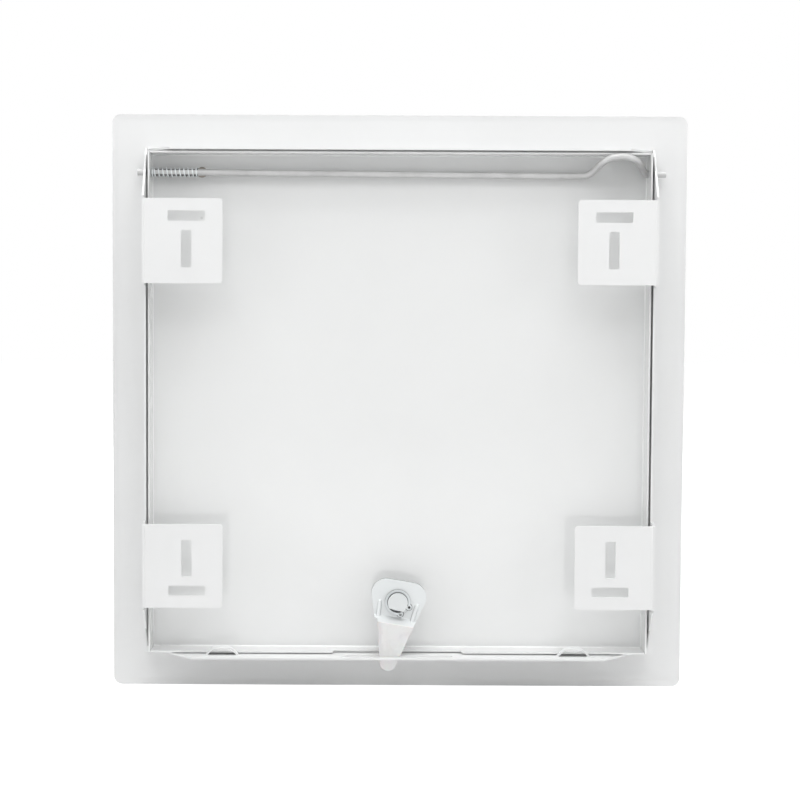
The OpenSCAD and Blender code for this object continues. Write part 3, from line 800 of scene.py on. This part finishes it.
class Piece:
    """A visible piece: a mesh object at the origin, with its place in its mesh."""

    flat_face_weight = 60

    def __init__(self, name: str, shape: bmesh.types.BMesh, material: Material) -> None:
        """Makes the object and frees the bmesh.

        Args:
            name: The piece's name.
            shape: Its shape, in metres, in the object's frame.
            material: Its finish.
        """
        mesh = bpy.data.meshes.new(name)
        shape.to_mesh(mesh)
        shape.free()
        mesh.materials.append(material)
        self.object = bpy.data.objects.new(name, mesh)
        self.body: Body | None = None
        bpy.context.scene.collection.objects.link(self.object)

    def smooth(self, sharp: float = 35.0) -> "Piece":
        """Shades round surfaces smooth and keeps flat ones flat.

        Args:
            sharp: Edges sharper than this many degrees stay sharp.

        Returns:
            This piece.
        """
        mesh = self.object.data
        mesh.shade_smooth()
        mesh.set_sharp_from_angle(angle=math.radians(sharp))
        weighted = self.object.modifiers.new("face_weight", "WEIGHTED_NORMAL")
        weighted.keep_sharp = True
        weighted.weight = self.flat_face_weight
        return self

    def settle(self, body: Body, slot: Slot, node: str) -> "Piece":
        """Puts the piece on its body, in place of a CAD node.

        Args:
            body: The body that it rides on.
            slot: The record's slot; not used.
            node: The CAD node that it stands for.

        Returns:
            This piece.
        """
        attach(self.object, body.value)
        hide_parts(node)
        self.body = body
        return self

    def summary(self) -> str:
        """Returns the piece's name, its number of faces and its body, as words."""
        return f"{self.object.name}: {len(self.object.data.polygons)} faces on {self.body.value}"


def merged_copy(node: str, gap: float) -> bmesh.types.BMesh:
    """Copies a CAD node's mesh with its loose triangles joined and its flat faces whole.

    Args:
        node: The CAD node's name.
        gap: Corners closer than this are joined, in metres.

    Returns:
        The copy.
    """
    shape = bmesh.new()
    shape.from_mesh(frame["nodes"][node].data)
    bmesh.ops.remove_doubles(shape, verts=shape.verts, dist=gap)
    bmesh.ops.dissolve_limit(shape, angle_limit=FLAT_ANGLE, verts=shape.verts, edges=shape.edges)
    shape.normal_update()
    return shape


@dataclass
class DressedNode:
    """A CAD node shown by a copy of its mesh, with its sharp edges rounded."""

    node: str
    name: str
    body: Body
    slot: Slot
    edge: float
    segments: int = 2
    sharp: float = 32.0
    gap: float = MERGE_GAP

    def build(self, material: Material) -> Piece:
        """Builds the copy.

        Args:
            material: Its finish.

        Returns:
            The piece, on its body.
        """
        shape = merged_copy(self.node, self.gap)
        edges = [edge for edge in shape.edges if self.is_sharp(edge)]
        bmesh.ops.bevel(shape, geom=edges, offset=self.edge, offset_type="OFFSET", affect="EDGES",
                        segments=self.segments, profile=0.5, material=-1, clamp_overlap=True)
        return Piece(self.name, shape, material).smooth().settle(self.body, self.slot, self.node)

    def is_sharp(self, edge: bmesh.types.BMEdge) -> bool:
        """Tells whether an edge is an outer or inner corner of the piece."""
        return len(edge.link_faces) == 2 and edge.calc_face_angle(0.0) > math.radians(self.sharp)


class SubAssembly:
    """Pieces of the panel that are made as one set."""

    def nodes(self) -> tuple[DressedNode, ...]:
        """Returns the CAD nodes that the set dresses."""
        return ()

    def build(self, paints: Paints) -> list[Piece]:
        """Builds the set.

        Args:
            paints: The materials by slot.

        Returns:
            Its pieces, on their bodies.
        """
        return [node.build(paints[node.slot]) for node in self.nodes()]


@dataclass
class FrameSheet(SubAssembly):
    """The frame: one punched and folded sheet, with corners that are joined over a wider gap."""

    edge: float = 0.2 * MM
    gap: float = 0.015 * MM

    def nodes(self) -> tuple[DressedNode, ...]:
        """Returns the frame's sheet."""
        return (DressedNode("frame", "frame_sheet", Body.FRAME, Slot.FRAME_PAINT, self.edge,
                            gap=self.gap),)


@dataclass
class DoorPan(SubAssembly):
    """The door: one folded pan."""

    edge: float = 0.18 * MM

    def nodes(self) -> tuple[DressedNode, ...]:
        """Returns the door's pan."""
        return (DressedNode("door", "door_pan", Body.DOOR, Slot.DOOR_PAINT, self.edge),)


@dataclass
class HingeRod(SubAssembly):
    """The bent wire that the door swings on."""

    edge: float = 0.25 * MM
    sharp: float = 40.0

    def nodes(self) -> tuple[DressedNode, ...]:
        """Returns the wire, with a higher limit, so that its bends stay as they are."""
        return (DressedNode("hinge_rod", "hinge_wire", Body.ROD, Slot.ROD_ZINC, self.edge,
                            sharp=self.sharp),)


@dataclass
class TurnLatch(SubAssembly):
    """The latch: its stud, cam, sleeve and ring, and the bush and washer under the cam."""

    stud_edge: float = 0.25 * MM
    cam_edge: float = 0.25 * MM
    sleeve_edge: float = 0.35 * MM
    sleeve_segments: int = 3
    ring_edge: float = 0.12 * MM
    bush_edge: float = 0.3 * MM
    washer_edge: float = 0.06 * MM

    def nodes(self) -> tuple[DressedNode, ...]:
        """Returns the latch's six pieces."""
        latch, door = Body.LATCH, Body.DOOR
        return (
            DressedNode("latch_stud", "latch_stud_turned", latch, Slot.LATCH_ZINC, self.stud_edge),
            DressedNode("latch_cam", "latch_cam_pressed", latch, Slot.LATCH_ZINC, self.cam_edge),
            DressedNode("cam_sleeve", "tongue_sleeve", latch, Slot.SLEEVE_PLASTIC, self.sleeve_edge,
                        self.sleeve_segments),
            DressedNode("retaining_ring", "retaining_ring_punched", latch, Slot.RING_STEEL, self.ring_edge),
            DressedNode("spacer_bush", "spacer_bush_turned", door, Slot.LATCH_ZINC, self.bush_edge),
            DressedNode("wave_washer", "wave_washer_sprung", door, Slot.SPRING_STEEL, self.washer_edge),
        )


@dataclass
class RodSpring(SubAssembly):
    """The compression spring between the rod's ears and the door's lip."""

    axis: Vector = field(default_factory=lambda: ROD_AXIS)
    ears_x: float = field(default_factory=lambda: millimetres(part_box("rod_spring")[0][0]) * MM)
    lip_x: float = field(default_factory=lambda: millimetres(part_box("rod_spring")[1][0]) * MM)
    outer: float = 3.0 * MM
    wire: float = 0.45 * MM
    turns: int = 12
    # How far a closed turn rises, in radii of the wire, so that it just clears the next turn.
    closed_rise: float = 2.08
    steps: int = 28
    sides: int = 14
    sharp: float = 60.0
    # The share of its length that is left when the rod is drawn right aside.
    keep: float = 0.643

    def build(self, paints: Paints) -> list[Piece]:
        """Sweeps the wire round the rod: a closed turn, open turns and a closed turn.

        Args:
            paints: The materials by slot.

        Returns:
            The spring.
        """
        shape = bmesh.new()
        start = Vector((self.ears_x + self.wire, self.axis.y, self.axis.z + self.outer - self.wire))
        facing = Matrix.Rotation(math.radians(90), 4, "X")
        made = bmesh.ops.create_circle(shape, segments=self.sides, radius=self.wire, cap_ends=True,
                                       matrix=Matrix.Translation(start) @ facing)
        seed = list({face for vert in made["verts"] for face in vert.link_faces})
        closed = self.closed_rise * self.wire
        length = self.lip_x - self.ears_x - 2 * self.wire
        open_turns = self.turns - 2
        for turns, rise in ((1, closed), (open_turns, (length - 2 * closed) / open_turns), (1, closed)):
            spun = bmesh.ops.spin(shape, geom=seed, cent=self.axis, axis=(1, 0, 0),
                                  dvec=(rise / self.steps, 0, 0), angle=math.tau * turns,
                                  steps=self.steps * turns, use_merge=False, use_duplicate=False)
            seed = [part for part in spun["geom_last"] if isinstance(part, bmesh.types.BMFace)]
        bmesh.ops.remove_doubles(shape, verts=shape.verts, dist=MERGE_GAP)
        bmesh.ops.recalc_face_normals(shape, faces=shape.faces)
        piece = Piece("spring_coil", shape, paints[Slot.SPRING_STEEL]).smooth(self.sharp)
        piece.settle(Body.DOOR, Slot.SPRING_STEEL, "rod_spring")
        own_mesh(piece.object)
        return [piece]


@dataclass
class Lamp:
    """A soft lamp that points at the panel's middle."""

    name: str
    place: Triple
    size: tuple[float, float]
    power: float

    def build(self) -> None:
        """Adds the lamp, turned to what it lights."""
        data = bpy.data.lights.new(self.name, "AREA")
        data.shape = "RECTANGLE"
        data.size, data.size_y = self.size
        data.energy = self.power
        lamp = bpy.data.objects.new(self.name, data)
        lamp.location = self.place
        lamp.rotation_euler = (-Vector(self.place)).to_track_quat("-Z", "Y").to_euler()
        bpy.context.scene.collection.objects.link(lamp)


@dataclass
class Studio:
    """Floor, light and camera.

    The camera sees the floor and the sky white in a strip behind the panel's front, as the photographed
    view needs, and pale grey well beside it, so that the open white door shows there too.
    """

    # How far the floor lies under the frame, and how far it reaches.
    floor_gap: float = 0.2 * MM
    floor_reach: float = 6.0
    floor_colour: Rgba = (0.9, 0.9, 0.9, 1.0)
    # What the floor's own light adds near the panel and far from it, and where it changes.
    strip_glow: tuple[float, float] = (0.72, 1.0)
    strip_fade: tuple[float, float] = (0.25, 0.9)
    side_glow: tuple[float, float] = (0.12, 0.84)
    side_fade: tuple[float, float] = (0.25, 2.6)
    # Where on Y the strip's two edges meet on the floor, and the half angles at which it ends.
    strip_apex: float = 1.05
    strip_edge: tuple[float, float] = (0.3, 0.75)
    camera_place: Triple = (0.02332, 1.04646, 0.05873)
    pitch: float = 3.04
    roll: float = 0.27
    sensor: float = 36.0
    lens: float = 77.70
    shift: tuple[float, float] = (0.0501, -0.0033)
    clip: tuple[float, float] = (0.01, 20.0)
    lamps: tuple[Lamp, ...] = (
        Lamp("key_above", (0.0, 0.9, 1.2), (1.6, 0.8), 9.8),
        Lamp("key_steep", (0.0, 0.35, 1.3), (1.4, 0.6), 11.0),
        Lamp("key_front", (0.0, 1.7, 1.0), (2.0, 1.0), 5.0),
        Lamp("side_left", (1.4, 0.8, 0.4), (1.0, 1.4), 7.0),
        Lamp("side_right", (-1.4, 0.8, 0.4), (1.0, 1.4), 7.6),
        Lamp("face_left", (1.2, -1.2, 0.8), (1.0, 1.0), 11.0),
        Lamp("face_right", (-1.2, -1.2, 0.8), (1.0, 1.0), 11.0),
    )

    def build(self) -> None:
        """Builds everything round the object."""
        self.add_floor()
        self.light_world()
        for lamp in self.lamps:
            lamp.build()
        self.add_camera()

    def add_floor(self) -> None:
        """Adds a pale floor that keeps the object's soft shadow."""
        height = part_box("frame")[0][2] - self.floor_gap
        shape = bmesh.new()
        bmesh.ops.create_grid(shape, x_segments=1, y_segments=1, size=self.floor_reach,
                              matrix=Matrix.Translation((0.0, 0.0, height)))
        mesh = bpy.data.meshes.new("floor")
        shape.to_mesh(mesh)
        shape.free()
        mesh.materials.append(self.floor_finish())
        floor = bpy.data.objects.new("floor", mesh)
        bpy.context.scene.collection.objects.link(floor)

    def floor_finish(self) -> Material:
        """Builds the floor's material: matt, with a light of its own that only the camera and gloss see.

        Returns:
            The new material.
        """
        material = bpy.data.materials.new("pale_floor")
        material.use_nodes = True
        graph = Graph(material.node_tree)
        matt = graph.add("ShaderNodeBsdfDiffuse", Color=self.floor_colour)
        place = graph.add("ShaderNodeTexCoord").outputs["Object"]
        away = graph.add("ShaderNodeVectorMath", {"operation": "LENGTH"}, Vector=place).outputs["Value"]
        strip = graph.ramp(away, *self.strip_fade, *self.strip_glow, "LINEAR")
        beside = graph.ramp(away, *self.side_fade, *self.side_glow, "LINEAR")
        side = self.side(graph, place, self.strip_apex)
        graded = graph.math("MULTIPLY_ADD", side, graph.math("SUBTRACT", beside, strip), strip)
        glow = graph.add("ShaderNodeEmission", Color=WHITE, Strength=self.shown(graph, graded, strip))
        both = graph.add("ShaderNodeAddShader")
        graph.feed(both.inputs[0], matt.outputs[0])
        graph.feed(both.inputs[1], glow.outputs[0])
        graph.add("ShaderNodeOutputMaterial", Surface=both.outputs[0])
        return material

    def side(self, graph: Graph, place: Socket, apex: float) -> Socket:
        """Tells how far a place lies to the side of the white strip.

        Args:
            graph: The floor's or the world's graph.
            place: The place, or the direction.
            apex: Where on Y the strip's two edges meet.

        Returns:
            0 in the strip, and 1 well beside it.
        """
        x, y, _ = graph.split(place)
        turn = graph.math("ARCTAN2", graph.math("ABSOLUTE", x), graph.math("SUBTRACT", apex, y))
        return graph.ramp(turn, *self.strip_edge)

    def shown(self, graph: Graph, graded: Socket, plain: object) -> Socket:
        """Lets a brightness be seen without lighting the object.

        Args:
            graph: The floor's or the world's graph.
            graded: The brightness that the camera sees.
            plain: The brightness that metal and gloss reflect, a socket or a number.

        Returns:
            The strength, which is nothing for the rays that light the object.
        """
        seen = graph.add("ShaderNodeLightPath")
        mirrored = graph.math("MAXIMUM", seen.outputs["Is Glossy Ray"], seen.outputs["Is Transmission Ray"])
        return graph.math("MAXIMUM", graph.math("MULTIPLY", seen.outputs["Is Camera Ray"], graded),
                          graph.math("MULTIPLY", mirrored, plain))

    def light_world(self) -> None:
        """Sets a pale sky that goes on from the far floor without an edge."""
        world = bpy.data.worlds.new("pale_surround")
        bpy.context.scene.world = world
        world.use_nodes = True
        graph = Graph(world.node_tree)
        side = self.side(graph, graph.add("ShaderNodeTexCoord").outputs["Generated"], 0.0)
        white, grey = self.strip_glow[1], self.side_glow[1]
        graded = graph.math("MULTIPLY_ADD", side, grey - white, white)
        surround = graph.add("ShaderNodeBackground", Color=WHITE, Strength=self.shown(graph, graded, white))
        graph.add("ShaderNodeOutputWorld", Surface=surround.outputs[0])

    def add_camera(self) -> None:
        """Adds the camera behind the panel, looking slightly down."""
        data = bpy.data.cameras.new("view_from_behind")
        data.sensor_width = self.sensor
        data.lens = self.lens
        data.shift_x, data.shift_y = self.shift
        data.clip_start, data.clip_end = self.clip
        camera = bpy.data.objects.new("view_from_behind", data)
        pitch, roll = math.radians(self.pitch), math.radians(self.roll)
        back = Vector((0.0, math.cos(pitch), math.sin(pitch)))
        level = Vector((-1.0, 0.0, 0.0))
        up = Vector((0.0, -math.sin(pitch), math.cos(pitch)))
        right = math.cos(roll) * level + math.sin(roll) * up
        above = -math.sin(roll) * level + math.cos(roll) * up
        turned = Matrix((right, above, back)).transposed().to_4x4()
        camera.matrix_world = Matrix.Translation(self.camera_place) @ turned
        bpy.context.scene.collection.objects.link(camera)
        bpy.context.scene.camera = camera


def main() -> None:
    """Builds the panel and its surroundings."""
    logging.basicConfig(level=logging.INFO, format="%(name)s: %(message)s")
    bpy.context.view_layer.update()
    paints = Palette().paints()
    for part in (FrameSheet(), DoorPan(), HingeRod(), TurnLatch(), RodSpring()):
        for piece in part.build(paints):
            log.info("piece %s", piece.summary())
    Studio().build()
    bpy.context.scene.view_settings.view_transform = "Standard"


if __name__ == "__main__":
    main()
